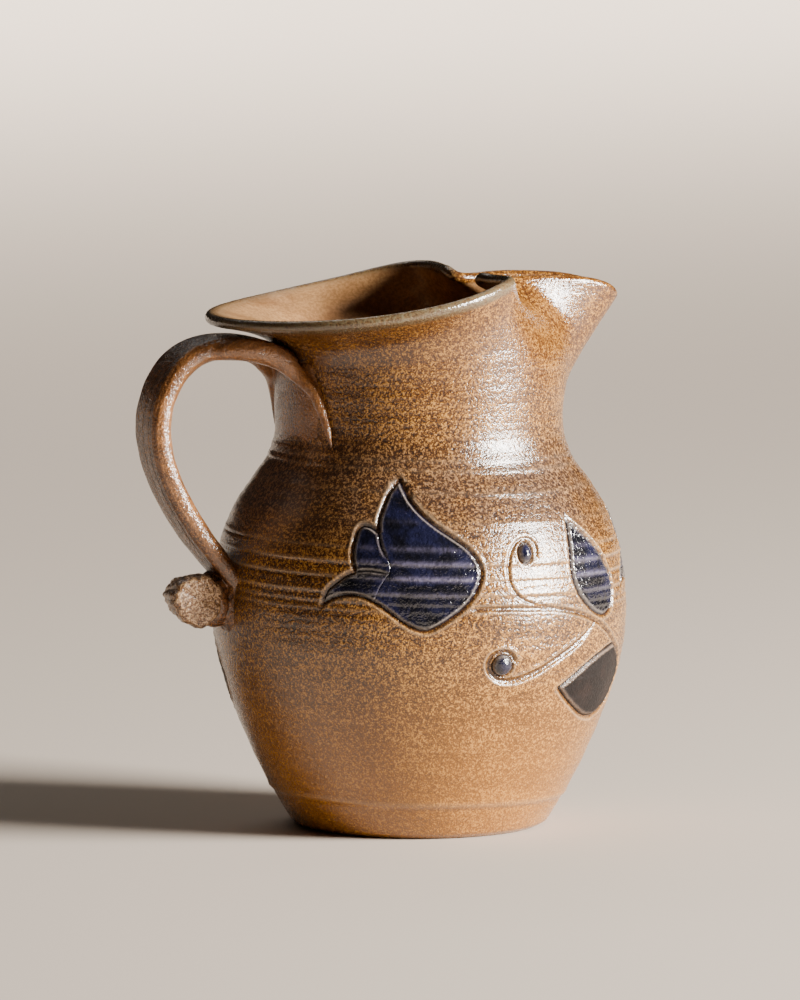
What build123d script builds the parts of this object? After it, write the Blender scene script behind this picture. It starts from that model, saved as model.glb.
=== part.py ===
"""Wheel-thrown stoneware pitcher with a pulled strap handle and cobalt inlays.

Millimetres. The origin is the centre of the foot on the table, +Z is up, the spout
points along +X and the handle along -X. Azimuths are degrees from the spout, turning
from +X towards +Y.
"""
from build123d import *
from OCP.BRepBuilderAPI import BRepBuilderAPI_Sewing
from OCP.TopoDS import TopoDS
import math
import os

# ---------------------------------------------------------------- driving dimensions
FOOT_RADIUS = 38.6        # flat the pitcher stands on
NECK_RADIUS = 46.2        # outside of the neck at its narrowest
NECK_HEIGHT = 133.0       # height of the narrowest ring
WALL = 4.0                # thrown wall at the neck and above
LIP_WALL = 3.6            # thickness of the rounded lip
BASE_THICKNESS = 7.0      # clay under the inside floor

# Outside of the body from the foot bevel to the neck: radius, height.
BODY_PROFILE = [
    (41.6, 1.6), (48.8, 13.4), (55.2, 26.5), (60.6, 39.6), (65.3, 55.0), (66.9, 69.0),
    (66.1, 82.0), (62.6, 97.6), (55.6, 110.3), (49.0, 120.2), (46.7, 127.5),
    (NECK_RADIUS, NECK_HEIGHT),
]
# Inside of the body from the floor up: radius, height.
CAVITY_PROFILE = [
    (28.0, BASE_THICKNESS), (38.0, 9.5), (45.6, 19.5), (54.6, 38.0), (60.0, 55.0),
    (61.9, 69.0), (61.2, 82.0), (57.6, 97.0), (50.8, 109.0), (44.8, 119.0),
    (42.6, 127.5), (NECK_RADIUS - WALL, NECK_HEIGHT),
]

# Middle of the lip on one side, from the spout tip round to the back: azimuth, radius,
# height. The other side mirrors it.
LIP_LINE = [
    (0, 66.2, 169.8), (5, 63.8, 171.7), (10, 54.4, 174.8), (16, 40.6, 175.9), (22, 31.4, 175.9),
    (28, 25.6, 175.4), (36, 20.8, 176.2), (44, 21.8, 177.4), (51, 26.3, 177.5),
    (58, 33.0, 177.6), (66, 41.2, 177.8), (76, 47.8, 176.9), (90, 53.2, 173.8),
    (108, 58.0, 170.0), (128, 62.6, 167.0), (150, 66.2, 165.3), (180, 68.0, 164.6),
]
# How late the wall flares between neck and lip: azimuth, power of the height fraction.
FLARE_POWER = [
    (0, 2.2), (10, 2.4), (24, 4.0), (52, 4.0),
    (85, 4.6), (115, 6.0), (145, 7.5), (180, 8.5),
]
THROAT_BULGE = 4.4        # how far the wall swells below the spout
THROAT_BULGE_RISE = 1.4   # how slowly the swelling starts above the neck
THROAT_BULGE_SHAPE = 5.1  # brings the swelling's greatest value to about 1
THROAT_BULGE_SPREAD = 26.0  # degrees of azimuth over which the swelling fades
SECTION_POINTS = 80       # points on each ring of the upper wall
WALL_STEPS = (0.0, 0.04, 0.16, 0.3, 0.44, 0.57, 0.69, 0.79, 0.88, 0.95, 1.0)
LIP_STEPS = 4             # steps round the half-circle of the lip
LIP_SAMPLES = 320         # samples of the lip line, a multiple of SECTION_POINTS
SLIDE_RISE = 0.5          # rise by which ring points have moved to their places under the lip
RISE_STEP = 0.002         # small rise used to find which way the wall leans
SEAM_TOLERANCE = 0.002    # gap allowed where the upper wall is sewn to the body

# Handle: middle of the strap from the neck to the belly, radius and height.
HANDLE_PATH = [
    (44.5, 151.5), (54.0, 155.2), (64.0, 157.0), (71.0, 156.6), (77.6, 154.6),
    (83.0, 150.4), (87.4, 143.8), (90.0, 135.5), (90.2, 127.0), (88.2, 118.5),
    (84.4, 109.6), (79.6, 101.4), (74.2, 93.6), (68.0, 86.0), (62.5, 79.5),
]
STRAP_WIDTH = 22.0
STRAP_THICKNESS = 8.2
ROOT_WIDTH = 27.0         # width of the strap where it meets the neck
ROOT_FRACTION = 0.2       # share of the path over which the strap widens to its root
ROOT_FLARE = 1.6          # how suddenly it widens there
ROOT_THINNING = 1.2       # how much thinner the strap is at its root
TAIL_NARROWING = 3.0      # how much narrower it is at its lower end
TAIL_TAPER = 3            # power of the path at which it narrows
STRAP_SQUARENESS = 0.7    # 1 is an ellipse, less is squarer
STRAP_SECTIONS = 24
STRAP_SECTION_POINTS = 24
ROOT_SPREAD = 31.0        # half angle of the clay smeared on the neck
ROOT_PAD_THICKNESS = 2.4
# Smeared clay under the root, one side: azimuth from the handle's middle, height.
ROOT_PAD_OUTLINE = [
    (0, 121.0), (18, 120.5), (29, 119.5), (ROOT_SPREAD, 121.0), (27, 136.0), (20, 146.0), (12, 153.0),
]

CURL_RADIUS = 8.6         # rolled terminal under the strap's lower end
CURL_WIDTH = 20.0
CURL_CENTRE = (79.0, 76.2)  # radius, height
CURL_FLUTES = 7           # ruffles round its outer edge
CURL_FLUTE_DEPTH = 0.9
CURL_SECTION_POINTS = 56
# Sections across the roll: share of its half width, share of its radius.
CURL_STATIONS = [
    (-1.0, 0.72), (-0.93, 0.88), (-0.75, 0.98), (0.0, 1.0), (0.75, 0.98), (0.93, 0.88), (1.0, 0.72),
]
TAIL_PAD_WIDTH = 17.0     # strap's end pressed on the belly behind the curl
TAIL_PAD_DEPTH = 9.0
TAIL_PAD_HEIGHT = 20.0
TAIL_PAD_CORNER = 5.0
TAIL_PAD_RECESS = 1.5     # how far behind the curl's inner side the pad starts

# Cobalt inlays.
INLAY_DEPTH = 1.2
SKIN_LOW = 30.0           # band of heights that holds every inlay
SKIN_HIGH = 122.0
SKIN_STEPS = 12
PRISM_REACH = 100.0       # from the pitcher's axis past its widest wall
SPRAY_TURNS = (0.0, 104.0, 202.0)   # turn of each flower spray about the pitcher
# Outlines of one spray: azimuth, height, with sharp corners only at the first point.
PETAL_MAIN = [
    (-117.1, 116.8), (-109.6, 106.2), (-98.6, 98.1), (-93.3, 91.6), (-93.3, 84.9),
    (-101.0, 74.6), (-108.6, 70.0), (-115.5, 73.4), (-121.0, 80.0), (-117.4, 88.4),
    (-119.6, 97.0), (-121.2, 104.3),
]
PETAL_SMALL = [
    (-128.0, 90.2), (-129.5, 97.8), (-128.2, 102.6), (-125.0, 100.6), (-122.6, 95.4), (-121.6, 91.2),
]
PETAL_TAIL = [
    (-137.4, 78.3), (-135.0, 83.8), (-130.9, 87.4), (-120.4, 88.0), (-123.6, 83.4), (-130.9, 80.8),
]
LEAF_UPPER = [
    (-59.4, 102.7), (-61.6, 91.0), (-61.2, 81.0), (-54.0, 73.0), (-46.0, 71.6),
    (-42.0, 78.2), (-43.6, 87.0), (-50.2, 94.6),
]
LEAF_LOWER = [
    (-66.1, 49.5), (-56.4, 41.6), (-46.4, 37.6), (-34.6, 41.0), (-28.6, 49.0),
    (-34.0, 57.6), (-44.0, 60.0), (-55.2, 56.0),
]
BERRY_DROP = [(-78.0, 97.2), (-76.4, 93.6), (-78.6, 90.4), (-80.4, 93.2)]
BERRY_ROUND_CENTRE = (-86.6, 58.7)
BERRY_ROUND_RADIUS = 3.5


def interpolate(table, value):
    """Piecewise linear value of a two-column table."""
    for (x0, y0), (x1, y1) in zip(table, table[1:]):
        if value <= x1:
            return y0 + (y1 - y0) * (value - x0) / (x1 - x0)
    return table[-1][1]


def polar(azimuth, radius, height):
    angle = math.radians(azimuth)
    return Vector(radius * math.cos(angle), radius * math.sin(angle), height)


def profile_points(points):
    return [Vector(radius, 0, height) for radius, height in points]


def closed_wire(points):
    """Smooth closed wire whose knots are evenly spaced, so that rings loft cleanly."""
    count = len(points)
    knots = [index / count for index in range(count + 1)]
    return Wire([Edge.make_spline(points, periodic=True, parameters=knots)])


def radius_at(edge, height):
    """Radius of a rising profile edge at a height, by bisection."""
    low, high = 0.0, 1.0
    for _ in range(40):
        middle = (low + high) / 2
        if (edge @ middle).Z < height:
            low = middle
        else:
            high = middle
    return (edge @ low).X


def body_edge():
    ends = [Vector(0.62, 0, 0.78), Vector(0, 0, 1)]
    return Edge.make_spline(profile_points(BODY_PROFILE), tangents=ends, scale=False)


def cavity_edge():
    ends = [Vector(1, 0, 0), Vector(0, 0, 1)]
    return Edge.make_spline(profile_points(CAVITY_PROFILE), tangents=ends, scale=False)


def make_body():
    """Foot, belly and shoulder: one turned wall up to the neck ring."""
    outside = body_edge()
    inside = cavity_edge()
    foot = Edge.make_line((0, 0, 0), (FOOT_RADIUS, 0, 0))
    bevel = Edge.make_line((FOOT_RADIUS, 0, 0), outside @ 0)
    top = Edge.make_line(outside @ 1, inside @ 1)
    floor = Edge.make_line(inside @ 0, (0, 0, BASE_THICKNESS))
    axis_line = Edge.make_line((0, 0, BASE_THICKNESS), (0, 0, 0))
    section = Face(Wire([foot, bevel, outside, top, inside, floor, axis_line]))
    return revolve(section, Axis.Z, 360)


# ---------------------------------------------------------------- pinched neck and lip
def lip_spline():
    """Middle line of the lip, closed, through both mirrored halves."""
    half = [polar(azimuth, radius, height) for azimuth, radius, height in LIP_LINE]
    mirrored = [Vector(point.X, -point.Y, point.Z) for point in half[1:-1]]
    return Edge.make_spline(half + mirrored[::-1], periodic=True)


def lip_samples(rim):
    """Azimuth, radius and height of points along the lip, for one turn from the spout tip."""
    samples = []
    for index in range(LIP_SAMPLES + 1):
        point = rim @ (index / LIP_SAMPLES)
        azimuth = math.degrees(math.atan2(point.Y, point.X)) % 360
        samples.append((azimuth, math.hypot(point.X, point.Y), point.Z))
    samples[0] = (0.0,) + samples[0][1:]
    samples[-1] = (360.0,) + samples[0][1:]
    return samples


def lip_at(samples, azimuth):
    """Radius and height of the lip at an azimuth."""
    radius = interpolate([(sample[0], sample[1]) for sample in samples], azimuth)
    height = interpolate([(sample[0], sample[2]) for sample in samples], azimuth)
    return radius, height


def station_azimuth(samples, fraction, rise):
    """Azimuth of a ring's point: evenly spaced at the neck, sliding to even steps along the lip."""
    even = 360 * fraction
    own = samples[round(fraction * LIP_SAMPLES)][0]
    slide = min(1.0, rise / SLIDE_RISE)
    share = slide * slide * (3 - 2 * slide)
    return even + (own - even) * share


def wall_point(samples, fraction, rise):
    """Middle of the wall, at a fraction of the way round and of the rise from neck to lip."""
    azimuth = station_azimuth(samples, fraction % 1.0, rise)
    lip_radius, lip_height = lip_at(samples, azimuth)
    from_spout = min(azimuth, 360 - azimuth)
    neck_radius = NECK_RADIUS - WALL / 2
    flare = rise ** interpolate(FLARE_POWER, from_spout)
    swelling = THROAT_BULGE_SHAPE * rise ** THROAT_BULGE_RISE * (1 - rise)
    bulge = THROAT_BULGE * swelling * math.exp(-(from_spout / THROAT_BULGE_SPREAD) ** 2)
    radius = neck_radius + (lip_radius - neck_radius) * flare + bulge
    height = NECK_HEIGHT + (lip_height - NECK_HEIGHT) * rise
    return polar(azimuth, radius, height)


def wall_ring(samples, rise, turn):
    """Closed ring on the wall: turn 0 is the outside, 180 the inside, 90 the top of the lip."""
    thickness = WALL + (LIP_WALL - WALL) * rise
    across = math.cos(math.radians(turn)) * thickness / 2
    over = math.sin(math.radians(turn)) * thickness / 2
    fractions = [index / SECTION_POINTS for index in range(SECTION_POINTS)]
    middle = [wall_point(samples, fraction, rise) for fraction in fractions]
    if rise > RISE_STEP:
        lower = [wall_point(samples, fraction, rise - RISE_STEP) for fraction in fractions]
    else:
        lower = [point - Vector(0, 0, 1) for point in middle]
    points = []
    for index, here in enumerate(middle):
        around = middle[(index + 1) % len(middle)] - middle[index - 1]
        normal = around.cross(here - lower[index]).normalized()
        up = normal.cross(around).normalized()
        points.append(here + normal * across + up * over)
    return closed_wire(points)


def make_upper_wall():
    """Neck, spout and flared rim: a sleeve lofted up the outside, over the lip and down the inside."""
    samples = lip_samples(lip_spline())
    outside = [wall_ring(samples, rise, 0) for rise in WALL_STEPS]
    lip = [wall_ring(samples, 1.0, 180.0 * step / LIP_STEPS) for step in range(1, LIP_STEPS)]
    inside = [wall_ring(samples, rise, 180) for rise in reversed(WALL_STEPS)]
    return Shell.make_loft(outside + lip + inside)


def join_wall(body, sleeve):
    """Sew the sleeve to the body where they meet at the neck ring."""
    below_neck = body.faces().sort_by(Axis.Z)[:-1]
    seam = BRepBuilderAPI_Sewing(SEAM_TOLERANCE)
    for face in list(below_neck) + list(sleeve.faces()):
        seam.Add(face.wrapped)
    seam.Perform()
    return Solid(Shell(TopoDS.Shell_s(seam.SewedShape())))


# ---------------------------------------------------------------- handle
def strap_size(fraction):
    """Width and thickness of the strap at a fraction of its path."""
    root = max(0.0, 1.0 - fraction / ROOT_FRACTION)
    width = STRAP_WIDTH + (ROOT_WIDTH - STRAP_WIDTH) * root ** ROOT_FLARE
    width -= TAIL_NARROWING * fraction ** TAIL_TAPER
    return width, STRAP_THICKNESS - ROOT_THINNING * root


def strap_section(path, fraction):
    """Rounded section square to the handle's path."""
    centre = path @ fraction
    along = path % fraction
    side = Vector(0, 1, 0)
    outward = side.cross(along).normalized()
    width, thickness = strap_size(fraction)
    points = []
    for index in range(STRAP_SECTION_POINTS):
        turn = 2 * math.pi * index / STRAP_SECTION_POINTS
        across = math.copysign(abs(math.cos(turn)) ** STRAP_SQUARENESS, math.cos(turn))
        through = math.copysign(abs(math.sin(turn)) ** STRAP_SQUARENESS, math.sin(turn))
        points.append(centre + side * (across * width / 2) + outward * (through * thickness / 2))
    return closed_wire(points)


def make_strap():
    path = Edge.make_spline([Vector(-radius, 0, height) for radius, height in HANDLE_PATH])
    sections = [strap_section(path, index / STRAP_SECTIONS) for index in range(STRAP_SECTIONS + 1)]
    return Solid.make_loft(sections)


def make_root_pad():
    """Clay of the handle's root smeared down the neck, thin and tapering to both sides."""
    outside = body_edge()
    low = min(height for _, height in ROOT_PAD_OUTLINE) - 1
    high = max(height for _, height in ROOT_PAD_OUTLINE) + 1
    heights = [low + (NECK_HEIGHT - low) * step / 4 for step in range(4)]
    outer = [(radius_at(outside, height) + ROOT_PAD_THICKNESS, height) for height in heights]
    outer += [(NECK_RADIUS + ROOT_PAD_THICKNESS, NECK_HEIGHT), (NECK_RADIUS + ROOT_PAD_THICKNESS, high)]
    inner_radius = NECK_RADIUS - WALL / 2
    ring_points = [(inner_radius, low)] + outer + [(inner_radius, high)]
    ring = revolve(Face(Wire.make_polygon(profile_points(ring_points))), Axis.Z, 360)
    half = []
    for azimuth, height in ROOT_PAD_OUTLINE:
        half.append(Vector(-NECK_RADIUS * math.sin(math.radians(azimuth)), height))
    mirrored = [Vector(-point.X, point.Y) for point in half[1:]]
    outline = Edge.make_spline(half[::-1] + mirrored)
    closing = Edge.make_line(outline @ 1, outline @ 0)
    plane = Plane((0, 0, 0), x_dir=(0, -1, 0), z_dir=(-1, 0, 0))
    prism = extrude(plane * Face(Wire([outline, closing])), amount=2 * NECK_RADIUS)
    return ring & prism


def make_tail_pad():
    """End of the strap pressed flat on the belly, behind the curl."""
    centre_radius, centre_height = CURL_CENTRE
    start = Vector(-centre_radius + CURL_RADIUS + TAIL_PAD_RECESS, 0, centre_height)
    plane = Plane(start, x_dir=(0, -1, 0), z_dir=(1, 0, 0))
    outline = RectangleRounded(TAIL_PAD_WIDTH, TAIL_PAD_HEIGHT, TAIL_PAD_CORNER)
    return extrude(plane * outline, amount=TAIL_PAD_DEPTH)


def make_curl():
    """Rolled end of the strap: a short fluted roll lying across the handle."""
    centre_radius, centre_height = CURL_CENTRE
    sections = []
    for offset, scale in CURL_STATIONS:
        points = []
        for index in range(CURL_SECTION_POINTS):
            turn = 2 * math.pi * index / CURL_SECTION_POINTS
            fluting = CURL_FLUTE_DEPTH * math.cos(CURL_FLUTES * turn) * max(0.0, math.cos(turn / 2)) ** 2
            radius = (CURL_RADIUS + fluting - CURL_FLUTE_DEPTH) * scale
            points.append(
                Vector(
                    -centre_radius - radius * math.cos(turn),
                    offset * CURL_WIDTH / 2,
                    centre_height + radius * math.sin(turn),
                )
            )
        sections.append(closed_wire(points))
    return Solid.make_loft(sections)


def largest_solid(shape):
    return max(shape.solids(), key=lambda solid: solid.volume)


# ---------------------------------------------------------------- cobalt inlays
def inlay_skin():
    """Layer of the body's outside that the inlays are let into, standing 1 mm proud of it."""
    outside = body_edge()
    edge_in = []
    edge_out = []
    for step in range(SKIN_STEPS + 1):
        height = SKIN_LOW + (SKIN_HIGH - SKIN_LOW) * step / SKIN_STEPS
        radius = radius_at(outside, height)
        slope = radius_at(outside, height + 0.5) - radius_at(outside, height - 0.5)
        normal = Vector(1, 0, -slope).normalized()
        surface = Vector(radius, 0, height)
        edge_in.append(surface - normal * INLAY_DEPTH)
        edge_out.append(surface + normal)
    inner = Edge.make_spline(edge_in)
    outer = Edge.make_spline(edge_out)
    bottom = Edge.make_line(inner @ 0, outer @ 0)
    top = Edge.make_line(outer @ 1, inner @ 1)
    return revolve(Face(Wire([inner, bottom, outer, top])), Axis.Z, 360)


def motif_face(outline, facing):
    """Outline drawn on the plane that faces it, with one sharp corner at its first point."""
    outside = body_edge()
    points = []
    for azimuth, height in outline:
        across = radius_at(outside, height) * math.sin(math.radians(azimuth - facing))
        points.append(Vector(across, height))
    return Face(Wire([Edge.make_spline(points + points[:1])]))


def motif_prism(outline, turn):
    """Prism through the wall over one motif, square to the wall at the motif's middle."""
    azimuths = [azimuth for azimuth, _ in outline]
    facing = (min(azimuths) + max(azimuths)) / 2
    direction = polar(facing + turn, 1, 0)
    plane = Plane((0, 0, 0), x_dir=Vector(-direction.Y, direction.X, 0), z_dir=direction)
    return extrude(plane * motif_face(outline, facing), amount=PRISM_REACH, dir=direction)


def berry_outline():
    azimuth, height = BERRY_ROUND_CENTRE
    degrees_per_mm = math.degrees(1 / radius_at(body_edge(), height))
    outline = []
    for index in range(8):
        turn = math.pi * index / 4
        across = BERRY_ROUND_RADIUS * math.cos(turn) * degrees_per_mm
        outline.append((azimuth + across, height + BERRY_ROUND_RADIUS * math.sin(turn)))
    return outline


def spray_outlines():
    return {
        "petal_main": PETAL_MAIN,
        "petal_small": PETAL_SMALL,
        "petal_tail": PETAL_TAIL,
        "leaf_upper": LEAF_UPPER,
        "leaf_lower": LEAF_LOWER,
        "berry_drop": BERRY_DROP,
        "berry_round": berry_outline(),
    }


def make_inlays(body):
    """Every cobalt inlay, and the body with their pockets."""
    skin = inlay_skin()
    inlays = {}
    pocketed = body
    for number, turn in enumerate(SPRAY_TURNS, start=1):
        for name, outline in spray_outlines().items():
            cutter = skin & motif_prism(outline, turn)
            inlays[f"{name}_{number}"] = largest_solid(body & cutter)
            pocketed = pocketed - cutter
    return inlays, largest_solid(pocketed)


def main():
    body = make_body()
    inlays, pocketed = make_inlays(body)
    vessel = join_wall(pocketed, make_upper_wall())
    handle = largest_solid(make_strap() + make_root_pad() + make_tail_pad())
    handle = largest_solid(handle - vessel)
    curl = largest_solid(make_curl() - handle - vessel)
    pieces = {"vessel": vessel, "handle": handle, "handle_curl": curl, **inlays}
    os.makedirs("parts", exist_ok=True)
    for name, piece in pieces.items():
        export_step(piece, f"parts/{name}.step")


main()
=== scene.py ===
"""Looks of the salt-glazed stoneware pitcher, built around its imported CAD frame.

Lengths are millimetres, and become metres only as a mesh is written. Azimuths are degrees
from the spout (+X) towards +Y. A point of the wall is often given as (azimuth, height).
"""
import math
import bmesh
import bpy
import numpy as np
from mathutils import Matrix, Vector
from mathutils.geometry import delaunay_2d_cdt
from mathutils.kdtree import KDTree


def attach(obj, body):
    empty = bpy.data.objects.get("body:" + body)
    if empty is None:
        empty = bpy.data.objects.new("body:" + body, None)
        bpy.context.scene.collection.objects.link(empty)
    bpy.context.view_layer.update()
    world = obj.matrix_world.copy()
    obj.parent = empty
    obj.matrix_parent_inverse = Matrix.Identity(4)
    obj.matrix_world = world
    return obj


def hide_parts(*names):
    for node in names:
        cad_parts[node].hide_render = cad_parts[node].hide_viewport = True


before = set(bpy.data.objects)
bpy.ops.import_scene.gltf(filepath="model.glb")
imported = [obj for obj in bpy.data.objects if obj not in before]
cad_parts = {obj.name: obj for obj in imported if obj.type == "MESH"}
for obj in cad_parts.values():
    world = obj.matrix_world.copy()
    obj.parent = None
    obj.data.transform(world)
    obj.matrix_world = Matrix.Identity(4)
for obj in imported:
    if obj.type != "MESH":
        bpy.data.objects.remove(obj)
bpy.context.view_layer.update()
MM = 0.001

# ---------------------------------------------------------------- form of the pitcher
FOOT_RADIUS = 38.6
FOOT_BEVEL = (3.0, 1.6)   # width and height of the bevel under the wall
NECK_RADIUS = 46.2
NECK_HEIGHT = 133.0
WALL = 4.0
LIP_WALL = 3.6
# Outside and inside of the body: radius, height.
BODY_PROFILE = [
    (41.6, 1.6), (48.8, 13.4), (55.2, 26.5), (60.6, 39.6), (65.3, 55.0), (66.9, 69.0),
    (66.1, 82.0), (62.6, 97.6), (55.6, 110.3), (49.0, 120.2), (46.7, 127.5),
    (NECK_RADIUS, NECK_HEIGHT),
]
CAVITY_PROFILE = [
    (28.0, 7.0), (38.0, 9.5), (45.6, 19.5), (54.6, 38.0), (60.0, 55.0),
    (61.9, 69.0), (61.2, 82.0), (57.6, 97.0), (50.8, 109.0), (44.8, 119.0),
    (42.6, 127.5), (NECK_RADIUS - WALL, NECK_HEIGHT),
]
# Middle of the lip on one side, from the spout tip to the back: azimuth, radius, height.
LIP_LINE = [
    (0, 66.2, 169.8), (5, 63.8, 171.7), (10, 54.4, 174.8), (16, 40.6, 175.9), (22, 31.4, 175.9),
    (28, 25.6, 175.4), (36, 20.8, 176.2), (44, 21.8, 177.4), (51, 26.3, 177.5),
    (58, 33.0, 177.6), (66, 41.2, 177.8), (76, 47.8, 176.9), (90, 53.2, 173.8),
    (108, 58.0, 170.0), (128, 62.6, 167.0), (150, 66.2, 165.3), (180, 68.0, 164.6),
]
# How late the wall flares between neck and lip: azimuth, power of the height fraction.
FLARE_POWER = [
    (0, 2.2), (10, 2.4), (24, 4.0), (52, 4.0), (85, 4.6), (115, 6.0), (145, 7.5), (180, 8.5),
]
THROAT_BULGE = 4.4        # how far the wall swells below the spout
THROAT_BULGE_RISE = 1.4
THROAT_BULGE_SHAPE = 5.1
THROAT_BULGE_SPREAD = 26.0
RISE_STEP = 0.002         # small rise used to find which way the wall leans
FLOOR_HEIGHT = 7.2        # inside floor

# ---------------------------------------------------------------- detail of the surface
AROUND = 720              # columns round the neck and lip
FOOT_COLUMNS = 337        # columns round the foot, counting both sides of the seam
NECK_ROWS = 70            # rows from the neck ring to the lip
BAND_LOW = 28.0           # belly band that carries the incised decoration
BAND_HIGH = 124.0
BAND_SPACING = 1.25       # spacing of plain mesh points in the band
NECK_ROW_SPAN = 45.0      # height over which ridges are counted from the neck to the lip
SEAM_MARGIN = 0.45        # the band's free points keep this far from its edges
FLAT_SCALE = math.radians(66.9)   # millimetres round the belly in one degree
SLOPE_STEP = 0.4          # height step used to find the body's slope
# Scored rings: height, strength.
SCORED_RINGS = [(95.2, 0.4), (90.7, 0.8), (86.0, 1.0), (81.0, 0.75), (77.9, 0.3), (75.7, 0.4)]
SHOULDER_RINGS = [(122.3, 0.5), (119.4, 0.6), (112.7, 0.45), (104.0, 0.3)]
RING_TILT = 0.0236        # rings lean down towards RING_TILT_AZIMUTH
RING_TILT_AZIMUTH = -20.0
FOOT_RING_HEIGHT = 12.0

# ---------------------------------------------------------------- incised decoration
SPRAY_TURNS = (0.0, 104.0, 202.0)
POCKET_DEPTH = 1.15       # the wall is cut this deep below an inlay
INLAY_DEPTH = 1.05        # underside of an inlay below the wall
INLAY_SINK = 0.05         # top of an inlay below the wall
OUTLINE_WIDTH = 1.9       # incised line round a petal or leaf
OUTLINE_DEPTH = 0.62
STEM_WIDTH = 1.9
STEM_DEPTH = 0.5
BERRY_DOME = 1.8          # height of a berry over the wall
BERRY_DOME_WIDTH = 3.4    # distance from a berry's edge to the top of its dome
# Lines of one spray: azimuth, height. Each list is one smooth stroke of the tool.
TULIP_RIGHT = [
    (-117.1, 116.8), (-113.9, 111.5), (-109.4, 106.4), (-104.0, 102.0), (-98.6, 98.2), (-95.3, 95.0),
    (-93.3, 91.6), (-92.5, 88.3), (-93.2, 84.9), (-94.8, 81.4), (-97.4, 77.8), (-101.0, 74.6),
    (-105.1, 71.6), (-108.6, 70.2), (-112.0, 71.2), (-115.5, 73.6), (-119.2, 76.8), (-122.6, 79.2),
]
TULIP_LEFT = [(-117.1, 116.8), (-120.2, 113.0), (-121.8, 108.5), (-122.6, 104.3), (-122.3, 100.9)]
PETAL_FOLD = [(-122.3, 100.9), (-121.4, 97.2), (-119.2, 92.6)]
SMALL_PETAL = [
    (-122.3, 100.9), (-125.0, 102.6), (-127.8, 102.7), (-129.3, 98.6), (-129.6, 94.2), (-128.2, 88.6),
]
TAIL_TOP_LEFT = [(-137.4, 78.3), (-136.8, 81.6), (-133.6, 85.2), (-130.9, 87.4), (-128.2, 88.6)]
TAIL_TOP_RIGHT = [(-128.2, 88.6), (-125.2, 89.0), (-121.8, 88.7), (-118.6, 88.2)]
TAIL_BOTTOM = [(-122.6, 79.2), (-126.3, 80.8), (-130.9, 81.1), (-135.0, 79.8), (-137.4, 78.3)]
TULIP_SEAM = [(-119.2, 92.6), (-118.4, 90.3), (-118.6, 88.2)]
TAIL_SEAM = [(-118.6, 88.2), (-121.0, 84.0), (-122.6, 79.2)]
LEAF_UPPER_LEFT = [
    (-59.4, 102.9), (-60.6, 97.6), (-61.8, 91.6), (-62.0, 85.6), (-60.4, 80.2), (-57.0, 76.0),
    (-52.6, 72.6), (-48.6, 71.2),
]
LEAF_UPPER_RIGHT = [
    (-59.4, 102.9), (-54.6, 99.0), (-50.0, 94.8), (-45.8, 89.6), (-42.8, 84.0), (-41.9, 78.4),
    (-43.6, 73.2), (-48.6, 71.2),
]
LEAF_LOWER_TOP = [(-66.3, 49.5), (-61.0, 52.8), (-54.9, 56.4), (-47.5, 59.6), (-40.0, 61.4)]
LEAF_LOWER_RIGHT = [(-40.0, 61.4), (-34.4, 57.6), (-30.2, 51.6), (-31.0, 44.6), (-36.6, 39.8), (-43.0, 37.8)]
LEAF_LOWER_LEFT = [(-66.3, 49.5), (-61.9, 45.5), (-55.8, 41.4), (-49.6, 38.6), (-43.0, 37.8)]
STEM = [
    (-94.6, 76.6), (-87.7, 76.6), (-78.6, 76.1), (-68.0, 75.2), (-60.2, 73.1), (-52.6, 70.0),
    (-46.0, 66.2), (-40.0, 61.4),
]
BERRY_UPPER_HOOK = [
    (-73.6, 76.6), (-78.7, 78.2), (-82.4, 81.0), (-84.3, 85.6), (-84.2, 90.6), (-82.4, 95.4), (-79.4, 97.9),
    (-76.4, 98.0), (-74.6, 95.9), (-74.9, 92.6),
]
BERRY_LOWER_HOOK = [
    (-53.4, 70.0), (-57.5, 66.2), (-63.3, 62.4), (-69.8, 58.7), (-75.7, 55.6), (-81.0, 53.8), (-85.3, 53.4),
    (-88.9, 55.0), (-90.6, 57.8), (-90.2, 61.0), (-87.6, 62.6), (-84.6, 62.0), (-83.0, 59.8),
]
BERRY_DROP = [(-78.0, 97.4), (-76.3, 94.4), (-77.6, 90.8), (-79.4, 90.6), (-80.7, 93.2), (-79.6, 96.4)]
BERRY_ROUND_CENTRE = (-86.6, 58.5)
BERRY_ROUND_RADIUS = 3.55
BERRY_LINE_WIDTH = 1.2
BERRY_LINE_DEPTH = 0.6
OUTER_LINES = [
    TULIP_RIGHT, TULIP_LEFT, SMALL_PETAL, TAIL_TOP_LEFT, TAIL_BOTTOM, LEAF_UPPER_LEFT, LEAF_UPPER_RIGHT,
    LEAF_LOWER_TOP, LEAF_LOWER_RIGHT, LEAF_LOWER_LEFT,
]
LINE_STEP = 0.2           # spacing of samples along a line
OUTLINE_STEP = 0.4        # spacing of mesh points round an inlay
BESIDE_STEP = 0.6         # spacing of mesh points along the incised lines

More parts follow.
